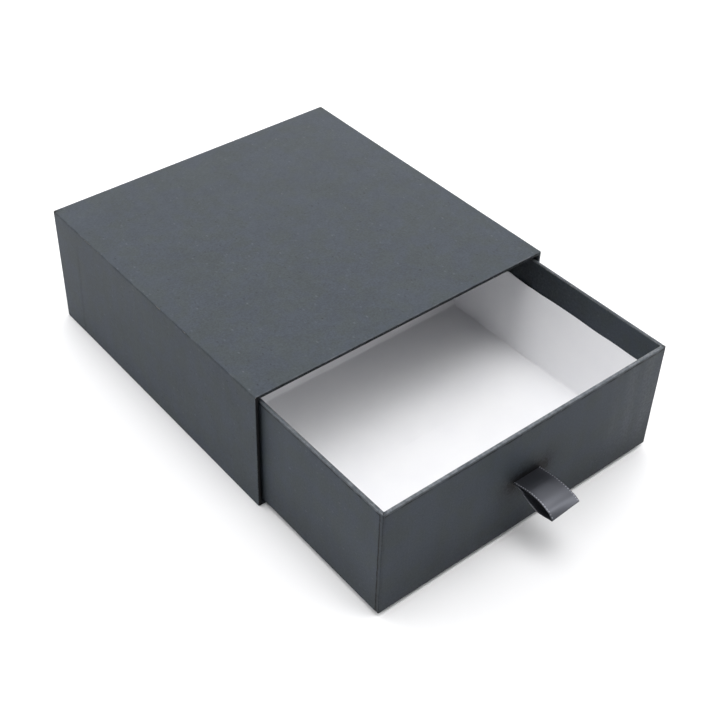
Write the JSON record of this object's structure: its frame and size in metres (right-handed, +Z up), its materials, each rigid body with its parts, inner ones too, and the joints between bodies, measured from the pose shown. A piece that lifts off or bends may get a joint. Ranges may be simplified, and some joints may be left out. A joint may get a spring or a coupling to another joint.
{
  "type": "sliding drawer gift box",
  "caption": "Rigid paper-wrapped gift box: a sleeve closed at the back, and a drawer with a white lining that slides out by a satin ribbon loop.",
  "frame": {"origin": "centre of the sleeve's underside, on the surface the box stands on", "axes": "+X to the right across the box, -Y the way the drawer opens, +Z up"},
  "size_m": [0.17, 0.276, 0.067],
  "materials": {
    "slate_paper": "matte, fine fibrous grain",
    "white_paper": "matte",
    "greyboard": "raw",
    "paper_tape": "matte",
    "black_satin": "satin"
  },
  "bodies": {
    "sleeve": {"sleeve_top_board": "greyboard", "sleeve_bottom_board": "greyboard", "sleeve_left_board": "greyboard", "sleeve_right_board": "greyboard", "sleeve_back_board": "greyboard", "sleeve_wrap": "slate_paper", "sleeve_back_cover": "slate_paper", "sleeve_lining": "slate_paper"},
    "drawer": {"drawer_base_board": "greyboard", "drawer_front_board": "greyboard", "drawer_back_board": "greyboard", "drawer_left_board": "greyboard", "drawer_right_board": "greyboard", "corner_stay_front_left": "paper_tape", "corner_stay_front_right": "paper_tape", "corner_stay_back_left": "paper_tape", "corner_stay_back_right": "paper_tape", "drawer_wrap": "slate_paper", "drawer_liner": "white_paper", "ribbon_tails": "black_satin"},
    "pull": {"pull_ribbon": "black_satin"}
  },
  "joints": [
    {"name": "drawer_slide", "type": "slide", "parent": "sleeve", "child": "drawer", "axis": [0, -1, 0], "range_m": [-0.08, 0.0575]},
    {"name": "ribbon_flap", "type": "hinge", "parent": "drawer", "child": "pull", "pos_m": [0.00045, -0.1672, 0.03235], "axis": [-1, 0, 0], "range_deg": [-60, 75], "stiffness_Nm_per_rad": 0.0015}
  ]
}
